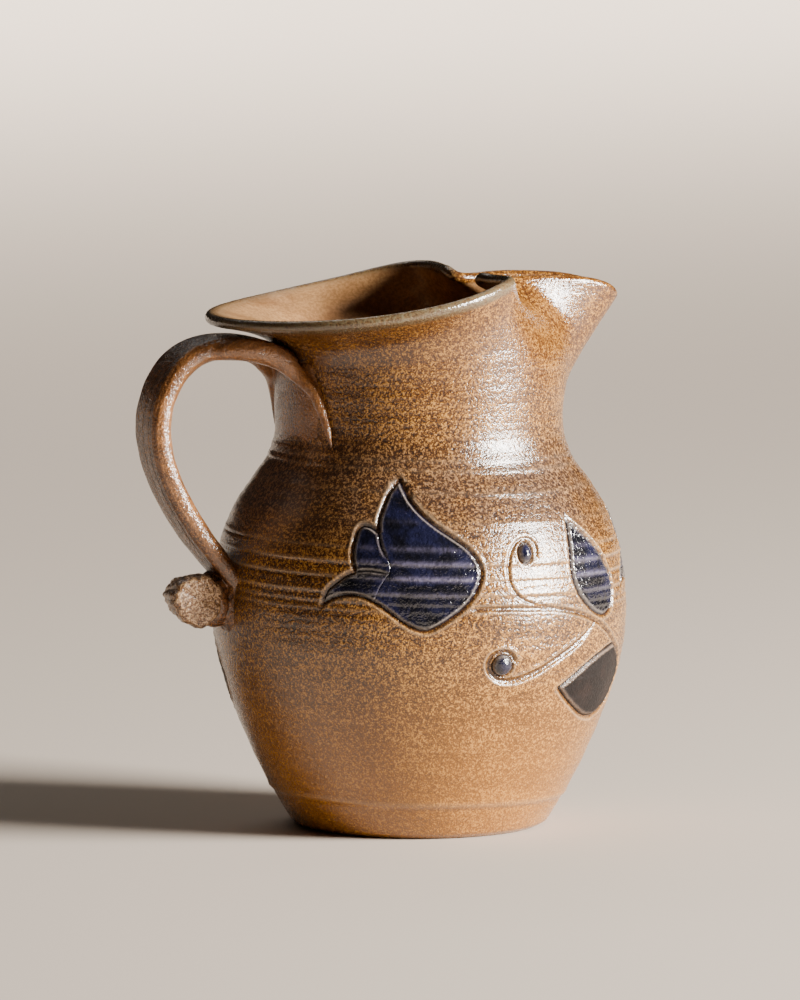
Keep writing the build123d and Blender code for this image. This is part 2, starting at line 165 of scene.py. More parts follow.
# ---------------------------------------------------------------- handle
# Middle of the strap from the neck to the belly: radius, height.
HANDLE_PATH = [
    (44.5, 151.5), (54.0, 155.2), (64.0, 157.0), (71.0, 156.6), (77.6, 154.6),
    (83.0, 150.4), (87.4, 143.8), (90.0, 135.5), (90.2, 127.0), (88.2, 118.5),
    (84.4, 109.6), (79.6, 101.4), (74.2, 93.6), (68.0, 86.0), (63.5, 80.5),
]
HANDLE_CENTRE = (62.0, 118.0)   # middle of the finger gap: radius, height
STRAP_WIDTH = 22.0
STRAP_THICKNESS = 8.2
TAIL_NARROWING = 3.0
BEAD_HEIGHT = 0.55        # raised edges of the strap
HOLLOW_DEPTH = 0.45       # sunk middle of its outer face
ROOT_SPREAD = 31.0        # degrees to each side that the root is smeared over
ROOT_FADE = (117, 138)    # heights where the smear starts and where it is whole
TAIL_HALF_ANGLE = 8.5     # pressed end of the strap: degrees to each side,
TAIL_HEIGHT = 76.0        # height of its middle
TAIL_HALF_HEIGHT = 12.5   # and its reach up and down
HANDLE_VOXEL = 0.42       # grain of the handle's skin
CURL_VOXEL = 0.35
# Wing of clay from the strap round the neck: degrees from the handle, radius, height, half width.
WING = [
    (5.0, 78.5, 153.9, 1.6), (7.2, 71.5, 156.0, 3.0), (9.4, 65.0, 156.4, 3.7),
    (12.3, 57.5, 155.0, 3.9), (14.8, 52.4, 152.2, 3.4), (17.6, 49.2, 148.2, 2.7),
    (24.0, 47.6, 143.4, 2.0), (28.3, 47.1, 137.4, 1.7), (31.4, 47.1, 131.6, 1.25),
    (33.9, 47.6, 125.6, 0.5),
]
TAIL_LUMP = ((-70.6, 0.0, 75.6), (5.6, 8.6, 9.4))   # clay behind the curl: centre, radii
CURL_RADIUS = 8.6
CURL_WIDTH = 20.0
CURL_CENTRE = (78.2, 76.2)
CURL_FLUTES = 14
CURL_FLUTE_DEPTH = 1.0

# ---------------------------------------------------------------- glaze
COAT_IOR = 2.1
GLAZE_SHINE = 0.18        # reflection below the glassy coat; 0.5 is that of plain glass
PEEL_SIZE = 1.0           # orange-peel grains of the salt glaze, in millimetres
INLAY_PEEL_SIZE = 1.15
# Colours are 0-255 display values. A mottle is its valley, middle and peak.
BODY_MOTTLE = ((38, 20, 6), (98, 60, 20), (188, 134, 62))
# strap glaze darker than the body's: painted shade of the handle
STRAP_SHADED_MOTTLE = ((28, 13, 6), (76, 42, 18), (160, 106, 58))
CURL_MOTTLE = ((54, 30, 15), (142, 96, 58), (228, 190, 146))
IRON_SPECK = (48, 28, 18)
GOLD = (172, 108, 20)     # glaze low on the body
BELT_DARK = (42, 30, 26)   # darker, greyer belt of the upper belly
BELT_LIGHT = (108, 86, 72)
NECK_BROWN = (84, 46, 18)
WORN_EDGE_AND_HIGHLIGHT = (206, 176, 140)   # thin glaze on raised edges, and a painted highlight on the burrs beside the incised lines
LINE_GLAZE_AND_SHADE = (44, 24, 14)     # glaze pooled in the incised lines, darkened further as painted shade in the grooves
INSIDE_DARK = (132, 92, 56)
INSIDE_LIGHT = (182, 138, 92)
INSIDE_GRAIN = (92, 58, 30)
LIP_GLAZE = (98, 90, 70)
BARE_CLAY = (160, 120, 82)
COBALT_DARK = (10, 10, 16)
COBALT_BLUE = (22, 23, 46)
COBALT_GRAIN = (74, 72, 98)
COBALT_STRIPE = (106, 100, 124)
# painted highlight along the edges of the blue inlays
COBALT_EDGE_HIGHLIGHT = (150, 138, 130)
# dark line down the grooves: pooled glaze and painted shade
COBALT_LINE_SHADE = (18, 12, 12)
BROWN_DARK = (14, 8, 8)
BROWN_LIGHT = (26, 17, 15)
# painted highlight along the edges of the brown inlay
BROWN_EDGE_HIGHLIGHT = (150, 126, 108)
# dark line down the grooves: pooled glaze and painted shade
BROWN_LINE_SHADE = (24, 16, 14)
# painted highlight on the strap's beaded edges
STRAP_RIM_HIGHLIGHT = (160, 108, 62)
# painted shade round the curl's ruffled outer rim
CURL_RIM_SHADE = (44, 27, 18)

# ---------------------------------------------------------------- studio
FLOOR_COLOUR = (192, 179, 166)
FLOOR_HALF = 30.0         # metres from the middle of the floor to its edge
KEY_POWER = 300.0
BACK_POWER = 2600.0
KEY_COLOUR = (1.0, 0.96, 0.9)
BACK_COLOUR = (1.0, 0.94, 0.87)
ROOM_COLOUR = (1.0, 0.9, 0.8, 1)
ROOM_LIGHT = 0.015
LIGHT_AIM = (0, 0, 0.09)   # lights circle this point, in metres
CAMERA_PLACE = (-0.8951, -2.4410, 0.3750)   # metres
CAMERA_TILT = 84.07
CAMERA_TURN = -20
CAMERA_LENS = 291.1


# ---------------------------------------------------------------- curves
def cubic(points, closed=False):
    """Smooth cubic through points. Returns a function of the fraction of its chord length."""
    points = np.array(points, float)
    if closed:
        points = np.vstack([points, points[:1]])
    steps = np.linalg.norm(np.diff(points, axis=0), axis=1)
    knots = np.concatenate([[0.0], np.cumsum(steps)])
    chords = np.diff(points, axis=0) / steps[:, None]
    count = len(points)
    system = np.zeros((count, count))
    target = np.zeros_like(points)
    for i in range(1, count - 1):
        system[i, i - 1] = steps[i]
        system[i, i] = 2 * (steps[i - 1] + steps[i])
        system[i, i + 1] = steps[i - 1]
        target[i] = 3 * (steps[i] * chords[i - 1] + steps[i - 1] * chords[i])
    if closed:
        system[0, 0] = 1
        system[0, -1] = -1
        system[-1, -2] = steps[0]
        system[-1, -1] = 2 * (steps[-1] + steps[0])
        system[-1, 1] = steps[-1]
        target[-1] = 3 * (steps[0] * chords[-1] + steps[-1] * chords[0])
    else:
        system[0, :2] = (2, 1)
        target[0] = 3 * chords[0]
        system[-1, -2:] = (1, 2)
        target[-1] = 3 * chords[-1]
    slopes = np.linalg.solve(system, target)

    def evaluate(fraction):
        length = np.clip(np.atleast_1d(np.asarray(fraction, float)), 0, 1) * knots[-1]
        i = np.clip(np.searchsorted(knots, length, side="right") - 1, 0, count - 2)
        t = ((length - knots[i]) / steps[i])[:, None]
        h = steps[i][:, None]
        start = (2 * t**3 - 3 * t**2 + 1) * points[i] + (t**3 - 2 * t**2 + t) * h * slopes[i]
        return start + (3 * t**2 - 2 * t**3) * points[i + 1] + (t**3 - t**2) * h * slopes[i + 1]

    return evaluate


def smoothstep(low, high, value):
    t = np.clip((value - low) / (high - low), 0, 1)
    return t * t * (3 - 2 * t)


def bell(distance, width):
    return np.exp(-(distance / width) ** 2)


BODY_SAMPLES = cubic(BODY_PROFILE)(np.linspace(0, 1, 3000))
CAVITY_SAMPLES = cubic(CAVITY_PROFILE)(np.linspace(0, 1, 3000))


def body_radius(height):
    return np.interp(height, BODY_SAMPLES[:, 1], BODY_SAMPLES[:, 0])


def body_slope(height):
    """Growth of the radius with height."""
    return (body_radius(height + SLOPE_STEP) - body_radius(height - SLOPE_STEP)) / SLOPE_STEP / 2


def cavity_radius(height):
    return np.interp(height, CAVITY_SAMPLES[:, 1], CAVITY_SAMPLES[:, 0])


def stacked(*columns):
    """Columns side by side as rows of numbers; a single number fills its column."""
    return np.stack(np.broadcast_arrays(*columns), -1)


def polar(azimuth, radius, height):
    angle = np.radians(azimuth)
    return stacked(radius * np.cos(angle), radius * np.sin(angle), height)


def body_points(azimuth, height, lift=0.0):
    """Points on the belly's outside, lifted along its normal."""
    radius = body_radius(height)
    slope = body_slope(height)
    size = np.sqrt(1 + slope**2)
    return polar(azimuth, radius + lift / size, height - lift * slope / size)


def wall_length(curve):
    """Length along the wall of a curve of (azimuth, height)."""
    points = body_points(*curve(np.linspace(0, 1, 80)).T)
    return np.linalg.norm(np.diff(points, axis=0), axis=1).sum()


# ---------------------------------------------------------------- throwing marks
def tilted(azimuth, height, radius):
    """Height measured square to the slightly leaning rings."""
    return height + RING_TILT * radius * np.cos(np.radians(azimuth - RING_TILT_AZIMUTH))


def ring_lift(azimuth, height):
    """Relief of scored rings and throwing ridges on the outside."""
    level = tilted(azimuth, height, body_radius(height))
    turn = np.radians(azimuth)
    neck = smoothstep(118, 134, height)
    lift = 0.05 * np.sin(level * 2.1 + 1.3 * np.sin(turn))
    lift += 0.035 * np.sin(level * 3.7 + 2 * np.cos(turn))
    lift *= smoothstep(16, 40, height) * (1 - 0.75 * neck)
    lift += 0.07 * np.sin(level * 0.62 + 0.4) * (1 - 0.5 * neck)
    for ring, strength in SCORED_RINGS:
        away = level - ring
        lift += strength * (0.16 * bell(away - 0.55, 0.42) - 0.2 * bell(away + 0.25, 0.38))
    for ring, strength in SHOULDER_RINGS:
        lift += strength * (0.22 * bell(level - ring, 0.7) - 0.2 * bell(level - ring + 1.3, 0.7))
    above = level - FOOT_RING_HEIGHT
    return lift + 0.3 * bell(above, 0.8) - 0.25 * bell(above + 2.0, 1.2)


def ring_light(azimuth, height, spread=0.5):
    """How much the glaze breaks thin and pale over the scored rings."""
    level = tilted(azimuth, height, body_radius(height))
    light = 0 * level
    for ring, strength in SCORED_RINGS:
        light = np.maximum(light, strength * bell(level - ring - 0.5, spread))
    for ring, strength in SHOULDER_RINGS:
        light = np.maximum(light, 0.35 * strength * bell(level - ring, 0.6))
    return np.maximum(light, 0.5 * bell(level - FOOT_RING_HEIGHT, 0.8))


# ---------------------------------------------------------------- incised lines
class Lines:
    """Samples along incised lines, found again by nearness to a point of the wall."""

    def __init__(self):
        self.strokes = []

    def stroke(self, points, turn, width, depth, start=1.0, end=1.0):
        """Adds a stroke whose size runs to the fractions start and end at its two ends."""
        curve = cubic(points)
        fraction = np.linspace(0, 1, max(8, int(wall_length(curve) / LINE_STEP)))
        fade = 1 - (1 - start) * (1 - smoothstep(0, 0.22, fraction))
        fade -= (1 - end) * smoothstep(0.72, 1, fraction)
        sizes = stacked(width * (0.45 + 0.55 * fade), depth * fade)
        self.strokes.append(np.hstack([curve(fraction) + [turn, 0], sizes]))

    def close(self):
        self.samples = np.concatenate(self.strokes)
        points = body_points(self.samples[:, 0], self.samples[:, 1])
        self.tree = KDTree(len(points))
        for index, point in enumerate(points):
            self.tree.insert(point, index)
        self.tree.balance()
        return self

    def nearest(self, azimuth, height):
        """Distance, width and depth of the line nearest to each point of the wall."""
        found = [self.tree.find(point) for point in body_points(azimuth, height)]
        index = np.array([hit[1] for hit in found], int)
        distance = np.array([hit[2] for hit in found])
        return distance, self.samples[index, 2], self.samples[index, 3]

    def beside(self, spacing):
        """Mesh points along each stroke, on it and at steps to both sides of it."""
        points = []
        for stroke in self.strokes:
            step = max(1, int(round(spacing / LINE_STEP)))
            samples = stroke[::step]
            radius = body_radius(samples[:, 1])
            slope = body_slope(samples[:, 1])
            scale = stacked(np.radians(1) * radius, np.sqrt(1 + slope**2))
            along = np.gradient(samples[:, :2] * scale, axis=0)
            along /= np.linalg.norm(along, axis=1)[:, None] + 1e-9
            side = stacked(-along[:, 1], along[:, 0]) / scale
            half = samples[:, 2:3] / 2
            points.append(samples[:, :2])
            for reach in (half * 0.5, half * 0.85, half + 0.3, half + 0.9):
                points.append(samples[:, :2] + side * reach)
                points.append(samples[:, :2] - side * reach)
        return np.concatenate(points)


def circle_outline(centre, radius, count=16):
    turns = np.linspace(0, 2 * math.pi, count, endpoint=False)
    per_mm = math.degrees(1 / float(body_radius(centre[1])))
    return [(centre[0] + radius * math.cos(t) * per_mm, centre[1] + radius * math.sin(t)) for t in turns]


def make_lines():
    """Every incised line, and the outer ones alone, which bound the inlays."""
    lines = Lines()
    outer = Lines()
    berries = (BERRY_DROP, circle_outline(BERRY_ROUND_CENTRE, BERRY_ROUND_RADIUS))
    for turn in SPRAY_TURNS:
        for target in (lines, outer):
            for points in OUTER_LINES:
                target.stroke(points, turn, OUTLINE_WIDTH, OUTLINE_DEPTH)
            for outline in berries:
                target.stroke(outline + outline[:1], turn, BERRY_LINE_WIDTH, BERRY_LINE_DEPTH)
        lines.stroke(PETAL_FOLD, turn, 1.3, 0.35, end=0.1)
        lines.stroke(TAIL_TOP_RIGHT, turn, 1.4, 0.4, end=0.1)
        lines.stroke(STEM, turn, STEM_WIDTH, STEM_DEPTH)
        lines.stroke(BERRY_UPPER_HOOK, turn, 1.5, 0.45, start=0.2)
        lines.stroke(BERRY_LOWER_HOOK, turn, 2.4, 0.85, start=0.3)
    return lines.close(), outer.close()


def groove_lift(distance, width, depth):
    """Relief across an incised line: a round-bottomed cut with a soft burr thrown up beside it."""
    across = 2 * distance / width
    cut = -depth * np.clip(1 - across**2, 0, 1) ** 0.8
    burr = 0.36 * depth * bell(distance - width / 2 - 0.22, 0.3)
    return cut + burr


def outline_of(*strokes):
    """Closed outline from strokes given in order round it."""
    pieces = []
    for points in strokes:
        curve = cubic(points)
        count = max(4, int(wall_length(curve) / OUTLINE_STEP))
        pieces.append(curve(np.linspace(0, 1, count))[:-1])
    return np.concatenate(pieces)


def inlay_outlines():
    """Outline of each inlay of one spray."""
    seam = TULIP_SEAM[::-1]
    fold = PETAL_FOLD[::-1]
    return {
        "petal_main": outline_of(TULIP_RIGHT, TAIL_SEAM[::-1], seam, fold, TULIP_LEFT[::-1]),
        "petal_small": outline_of(SMALL_PETAL, TAIL_TOP_RIGHT, seam, fold),
        "petal_tail": outline_of(TAIL_TOP_LEFT, TAIL_TOP_RIGHT, TAIL_SEAM, TAIL_BOTTOM),
        "leaf_upper": outline_of(LEAF_UPPER_RIGHT, LEAF_UPPER_LEFT[::-1]),
        "leaf_lower": outline_of(LEAF_LOWER_TOP, LEAF_LOWER_RIGHT, LEAF_LOWER_LEFT[::-1]),
        "berry_drop": outline_of(BERRY_DROP + BERRY_DROP[:1]),
        "berry_round": outline_of(circle_outline(BERRY_ROUND_CENTRE, BERRY_ROUND_RADIUS, 24)),
    }


# ---------------------------------------------------------------- meshes
def write_marks(mesh, marks):
    """Stores shader marks, one value for each point."""
    for label, values in marks.items():
        layer = mesh.attributes.new(label, "FLOAT", "POINT")
        layer.data.foreach_set("value", np.asarray(values, np.float32))


def mesh_object(name, points, faces, marks):
    """Object in metres from points in millimetres, with its seams welded and normals outward."""
    mesh = bpy.data.meshes.new(name)
    mesh.from_pydata((np.asarray(points) * MM).tolist(), [], faces)
    write_marks(mesh, marks)
    thing = bpy.data.objects.new(name, mesh)
    bpy.context.scene.collection.objects.link(thing)
    work = bmesh.new()
    work.from_mesh(mesh)
    bmesh.ops.remove_doubles(work, verts=work.verts, dist=2e-6)
    bmesh.ops.dissolve_degenerate(work, edges=work.edges, dist=1e-7)
    bmesh.ops.recalc_face_normals(work, faces=work.faces)
    work.to_mesh(mesh)
    work.free()
    mesh.polygons.foreach_set("use_smooth", [True] * len(mesh.polygons))
    mesh.update()
    return thing


def triangulate(points, boundary=None):
    """Delaunay triangles of points given as (azimuth, height), inside a boundary if there is one."""
    flat = [Vector((azimuth * FLAT_SCALE, height)) for azimuth, height in points]
    edges = [] if boundary is None else [(i, (i + 1) % boundary) for i in range(boundary)]
    kind = 0 if boundary is None else 1
    vertices, _, faces, origins, _, _ = delaunay_2d_cdt(flat, edges, [], kind, 1e-5)
    place = np.array([(v[0] / FLAT_SCALE, v[1]) for v in vertices])
    index = {source: new for new, sources in enumerate(origins) for source in sources}
    return place, [tuple(face) for face in faces], index


def thin_out(points, spacing):
    """Points with near duplicates dropped."""
    cells = np.round(points * [FLAT_SCALE / spacing, 1 / spacing]).astype(int)
    _, keep = np.unique(cells, axis=0, return_index=True)
    return points[np.sort(keep)]


def inside_outline(points, outline):
    """Which points lie inside a closed outline, by crossings."""
    x = points[:, 0]
    y = points[:, 1]
    inside = np.zeros(len(points), bool)
    for (x0, y0), (x1, y1) in zip(outline, np.roll(outline, -1, axis=0)):
        if y0 == y1:
            continue
        crosses = (y0 > y) != (y1 > y)
        inside ^= crosses & (x < (x1 - x0) * (y - y0) / (y1 - y0) + x0)
    return inside


def under_inlays(points, outlines):
    """Which points lie inside any of the outlines."""
    covered = np.zeros(len(points), bool)
    for outline in outlines.values():
        covered |= inside_outline(points, outline)
    return covered


def ring_rows(low, high, left, right, spacing):
    """Mesh points on the crest and foot of each scored ring, within a window of the wall."""
    rows = []
    azimuths = np.arange(left, right, spacing / FLAT_SCALE)
    levels = [ring + step for ring, _ in SCORED_RINGS for step in (-1.0, -0.25, 0.15, 0.55, 1.1)]
    levels += [ring + step for ring, _ in SHOULDER_RINGS for step in (-1.3, -0.5, 0.0, 0.8)]
    for level in levels:
        lean = tilted(azimuths, level, body_radius(level)) - level
        rows.append(stacked(azimuths, level - lean))
    rows = np.concatenate(rows)
    return rows[(rows[:, 1] > low) & (rows[:, 1] < high)]


def hex_points(left, right, low, high, spacing):
    """Evenly spaced mesh points, every other row moved on by half a step."""
    rows = []
    step = spacing / FLAT_SCALE
    for number, height in enumerate(np.arange(low, high, spacing * 0.87)):
        azimuths = np.arange(left, right, step) + (number % 2) * step / 2
        rows.append(stacked(azimuths, height))
    return np.concatenate(rows)


def all_outlines():
    """Outline of every inlay on the pitcher, by name."""
    found = {}
    for number, turn in enumerate(SPRAY_TURNS, start=1):
        for name, outline in inlay_outlines().items():
            found[f"{name}_{number}"] = outline + [turn, 0]
    return found


# ---------------------------------------------------------------- the thrown body
def band_mesh(lines, outer, outlines, bottom_azimuths, top_azimuths):
    """Belly and shoulder, finely meshed along the incised lines."""
    seam_heights = np.linspace(BAND_LOW, BAND_HIGH, int((BAND_HIGH - BAND_LOW) / BAND_SPACING))
    border = [
        stacked(bottom_azimuths, BAND_LOW),
        stacked(top_azimuths, BAND_HIGH),
        stacked(-180.0, seam_heights),
        stacked(180.0, seam_heights),
    ]
    base = hex_points(-179.5, 179.5, BAND_LOW + 0.8, BAND_HIGH - 0.8, BAND_SPACING)
    base = np.concatenate([base, ring_rows(BAND_LOW, BAND_HIGH, -179.5, 179.5, BAND_SPACING)])
    distance, width, _ = lines.nearest(base[:, 0], base[:, 1])
    base = base[distance > width / 2 + 1.1]
    covered = under_inlays(base, outlines)
    hidden = base[covered][::6]
    near = thin_out(lines.beside(BESIDE_STEP), 0.22)
    free = np.concatenate([base[~covered], hidden, near])
    low, high = BAND_LOW + SEAM_MARGIN, BAND_HIGH - SEAM_MARGIN
    free = free[(np.abs(free[:, 0]) < 179.6) & (free[:, 1] > low) & (free[:, 1] < high)]
    place, faces, _ = triangulate(np.concatenate(border + [free]))
    azimuth, height = place.T
    distance, width, depth = lines.nearest(azimuth, height)
    lift = ring_lift(azimuth, height) + groove_lift(distance, width, depth)
    edge_distance, _, _ = outer.nearest(azimuth, height)
    sunk = smoothstep(0.02, 0.4, edge_distance) * under_inlays(place, outlines)
    lift = lift * (1 - sunk) - POCKET_DEPTH * sunk
    across = distance / (width / 2)
    strength = np.clip(depth / OUTLINE_DEPTH, 0, 1)
    # Dark line down each groove: pooled glaze, and painted shade of the groove.
    cut = np.clip(1.15 - across, 0, 1) * strength
    # Light rim on the burr beside each line: a painted highlight.
    burr = bell(distance - width / 2 - 0.2, 0.42) * strength
    # pale joins the painted highlight on the burrs to the thin glaze over the scored rings.
    pale = np.maximum(burr, ring_light(azimuth, height) * (across > 1.4))
    return body_points(azimuth, height, lift), faces, {"cut": cut, "pale": pale}


def lip_stations():
    """Middle line of the lip as (azimuth, radius, height), evenly spaced, starting at the back."""
    half = np.array(LIP_LINE, float)
    far_side = half[1:-1] * [-1, 1, 1]
    round_trip = np.concatenate([[half[-1] * [-1, 1, 1]], far_side[::-1], half[:-1]])
    curve = cubic(polar(*round_trip.T), closed=True)
    samples = curve(np.linspace(0, 1, AROUND * 8 + 1))
    length = np.concatenate([[0], np.cumsum(np.linalg.norm(np.diff(samples, axis=0), axis=1))])
    even = np.linspace(0, length[-1], AROUND + 1)
    x, y, z = (np.interp(even, length, samples[:, axis]) for axis in range(3))
    azimuth = np.degrees(np.unwrap(np.arctan2(y, x)))
    azimuth += -180 - azimuth[0]
    return azimuth, np.hypot(x, y), z


def wall_middle(stations, rise):
    """Middle of the wall below each lip station, at a fraction of the rise from the neck."""
    azimuth, lip_radius, lip_height = stations
    power = np.interp(np.abs(azimuth), *np.array(FLARE_POWER).T)
    swelling = THROAT_BULGE_SHAPE * rise**THROAT_BULGE_RISE * (1 - rise)
    bulge = THROAT_BULGE * swelling * bell(azimuth, THROAT_BULGE_SPREAD)
    middle = NECK_RADIUS - WALL / 2
    radius = middle + (lip_radius - middle) * rise**power + bulge
    return polar(azimuth, radius, NECK_HEIGHT + (lip_height - NECK_HEIGHT) * rise)


def wall_row(stations, rise, turn, lift=0.0):
    """Row of points on the wall: turn 0 is the outside, 180 the inside, 90 the top of the lip."""
    half = (WALL + (LIP_WALL - WALL) * rise) / 2 + lift
    here = wall_middle(stations, rise)
    below = wall_middle(stations, max(rise - RISE_STEP, 0.0)) if rise > 0 else here - [0, 0, 1]
    loop = here[:-1]
    around = np.roll(loop, -1, axis=0) - np.roll(loop, 1, axis=0)
    around = np.vstack([around, around[:1]])
    normal = np.cross(around, here - below)
    normal /= np.linalg.norm(normal, axis=1)[:, None]
    up = np.cross(normal, around)
    up /= np.linalg.norm(up, axis=1)[:, None]
    angle = math.radians(turn)
    across = np.reshape(math.cos(angle) * half, (-1, 1))
    over = np.reshape(math.sin(angle) * half, (-1, 1))
    return here + normal * across + up * over


def grid_faces(first, rows, columns):
    """Quads between rows of equal length, numbered from first."""
    start = first + np.arange((rows - 1) * columns).reshape(rows - 1, columns)[:, :-1].ravel()
    quads = np.stack([start, start + 1, start + columns + 1, start + columns], -1)
    return [tuple(quad) for quad in quads.tolist()]


def halving_faces(first, second, columns):
    """Triangles from a row of columns points to a row of half as many steps."""
    faces = []
    for i in range((columns - 1) // 2):
        a = first + 2 * i
        b = second + i
        faces += [(a, a + 1, b), (a + 1, b + 1, b), (a + 1, a + 2, b + 1)]
    return faces


class Skin:
    """Points, faces and shader marks of the body, gathered row by row."""

    LABELS = ("cut", "pale", "lip", "inner", "bare")

    def __init__(self, points, faces, marks):
        self.blocks = [points]
        self.faces = faces
        self.marks = {label: [marks.get(label, np.zeros(len(points)))] for label in self.LABELS}
        self.count = len(points)
        self.fresh = True

    def start(self):
        """The next row isn't joined to the one before it."""
        self.fresh = True

    def row(self, points, **marks):
        """Adds a row, joined to the row before it. A mark is one value, or one for each point."""
        size = len(points)
        if not self.fresh:
            self.faces += grid_faces(self.count - size, 2, size)
        self.fresh = False
        self.count += size
        self.blocks.append(points)
        for label in self.LABELS:
            self.marks[label].append(np.full(size, 1.0) * marks.get(label, 0.0))

    def build(self, name):
        marks = {label: np.concatenate(parts) for label, parts in self.marks.items()}
        return mesh_object(name, np.concatenate(self.blocks), self.faces, marks)


def add_foot(skin, azimuths):
    """Unglazed underside, bevel and lower belly."""
    for radius in (0.01, 6, 12, 18, 24, 30, 34, 37, 38.2, FOOT_RADIUS):
        grain = 0.05 * (1 + np.sin(azimuths * 0.4 + radius)) * smoothstep(39, 34, radius)
        skin.row(polar(azimuths, radius, grain), bare=1.0)
    bevel_width, bevel_height = FOOT_BEVEL
    for fraction in (0.25, 0.5, 0.75):
        radius = FOOT_RADIUS + bevel_width * fraction**0.8
        skin.row(polar(azimuths, radius, bevel_height * fraction), bare=0.8 - fraction)
    for height in np.linspace(bevel_height, BAND_LOW, 40):
        lift = ring_lift(azimuths, height) * smoothstep(bevel_height, 4, height)
        skin.row(body_points(azimuths, height, lift), pale=ring_light(azimuths, height))


def beside_spout(azimuths):
    """0 at the spout and 1 elsewhere, for the bare edge of the lip."""
    return smoothstep(30, 46, np.abs((azimuths + 180) % 360 - 180))


def add_neck(skin, stations):
    """Neck, flared rim and spout outside, then over the lip."""
    azimuths = stations[0]
    away = beside_spout(azimuths)
    for height in np.linspace(BAND_HIGH, NECK_HEIGHT, 13)[:-1]:
        lift = ring_lift(azimuths, height)
        skin.row(body_points(azimuths, height, lift), pale=ring_light(azimuths, height))
    for rise in np.linspace(0, 1, NECK_ROWS):
        lift = ring_lift(azimuths, NECK_HEIGHT + NECK_ROW_SPAN * rise)
        lift *= 1 - smoothstep(0.85, 1.0, rise)
        skin.row(wall_row(stations, rise, 0, lift), lip=away * smoothstep(0.955, 0.985, rise))
    for turn in np.linspace(0, 180, 11)[1:]:
        skin.row(wall_row(stations, 1.0, turn), lip=away * (1.0 if turn < 150 else 0.7))


def add_rim_inside(skin, stations):
    """Inside of the rim and neck."""
    azimuths = stations[0]
    away = beside_spout(azimuths)
    for rise in np.concatenate([np.linspace(1, 0.8, 14)[1:], np.linspace(0.8, 0, 30)[1:]]):
        ripple = 0.12 * np.sin(rise * 38 + 0.6 * np.sin(np.radians(azimuths)))
        points = wall_row(stations, rise, 180, ripple * smoothstep(1.0, 0.85, rise))
        skin.row(points, lip=0.7 * away * smoothstep(0.95, 1.0, rise), inner=1.0)


def add_belly_inside(skin, azimuths):
    """Inside of the belly, with throwing rings, and the floor."""
    half = azimuths[::2]
    skin.faces += halving_faces(skin.count - len(azimuths), skin.count, len(azimuths))
    skin.start()
    for height in np.linspace(NECK_HEIGHT - 2, FLOOR_HEIGHT + 0.2, 62):
        ripple = 0.3 * np.sin(height * 0.95 + 0.7 * np.sin(np.radians(half)))
        skin.row(polar(half, cavity_radius(height) + ripple, height), inner=1.0)
    for radius in (24, 20, 15, 10, 6, 3, 0.01):
        dimple = FLOOR_HEIGHT + 0.25 * math.cos(radius * 0.5)
        skin.row(polar(half, radius, dimple), inner=1.0)


def make_vessel(lines, outer, outlines):
    """The thrown body as one closed mesh: foot, belly, neck, lip and inside."""
    stations = lip_stations()
    low_azimuths = np.linspace(-180, 180, FOOT_COLUMNS)
    skin = Skin(*band_mesh(lines, outer, outlines, low_azimuths, stations[0]))
    add_foot(skin, low_azimuths)
    skin.start()
    add_neck(skin, stations)
    add_rim_inside(skin, stations)
    add_belly_inside(skin, stations[0])
    return skin.build("thrown_body")


# ---------------------------------------------------------------- glaze inlays
def inlay_points(outline, lines, own):
    """Mesh points inside an outline, denser along the incised lines."""
    left, low = outline.min(axis=0)
    right, high = outline.max(axis=0)
    near = lines.beside(BESIDE_STEP)
    near = near[((near > (left, low)) & (near < (right, high))).all(axis=1)]
    plain = hex_points(left, right, low, high, 0.8)
    rows = ring_rows(low, high, left, right, 0.9)
    base = thin_out(np.concatenate([plain, rows, near]), 0.25)
    base = base[inside_outline(base, outline)]
    distance, _, _ = own.nearest(base[:, 0], base[:, 1])
    return base[distance > 0.22]


def make_inlay(name, outline, lines, dome):
    """Thin closed piece of glaze lying in its pocket, with the rings running through it."""
    own = Lines()
    own.strokes.append(np.hstack([outline, np.ones_like(outline)]))
    own.close()
    inner = inlay_points(outline, lines, own)
    place, faces, index = triangulate(np.concatenate([outline, inner]), boundary=len(outline))
    azimuth, height = place.T
    distance, width, depth = lines.nearest(azimuth, height)
    edge, _, _ = own.nearest(azimuth, height)
    swell = dome * np.sin(np.clip(edge / BERRY_DOME_WIDTH, 0, 1) * math.pi / 2)
    lift = ring_lift(azimuth, height) + groove_lift(distance, width, depth) + swell - INLAY_SINK
    top = body_points(azimuth, height, lift)
    rim = [index[i] for i in range(len(outline))]
    under, under_faces, under_index = triangulate(outline, boundary=len(outline))
    bottom = body_points(under[:, 0], under[:, 1], -INLAY_DEPTH)
    offset = len(top)
    faces += [tuple(offset + i for i in reversed(face)) for face in under_faces]
    for i in range(len(rim)):
        j = (i + 1) % len(rim)
        faces.append((rim[i], rim[j], offset + under_index[j], offset + under_index[i]))
    across = distance / (width / 2)
    stripe = ring_light(azimuth, height, 0.75) * smoothstep(0.9, 3.4, distance)
    marks = {
        "stripe": stripe * smoothstep(75, 86, height),
        # edge: painted highlight along the inlay's rim beside its outline
        "edge": bell(distance - width / 2 + 0.05, 0.28) * np.clip(depth / OUTLINE_DEPTH, 0, 1),
        # cut: dark line down the grooves, pooled glaze and painted shade
        "cut": np.clip(1.1 - across, 0, 1),
    }
    below = np.zeros(len(bottom))
    marks = {label: np.concatenate([values, below]) for label, values in marks.items()}
    return mesh_object(name, np.concatenate([top, bottom]), faces, marks)


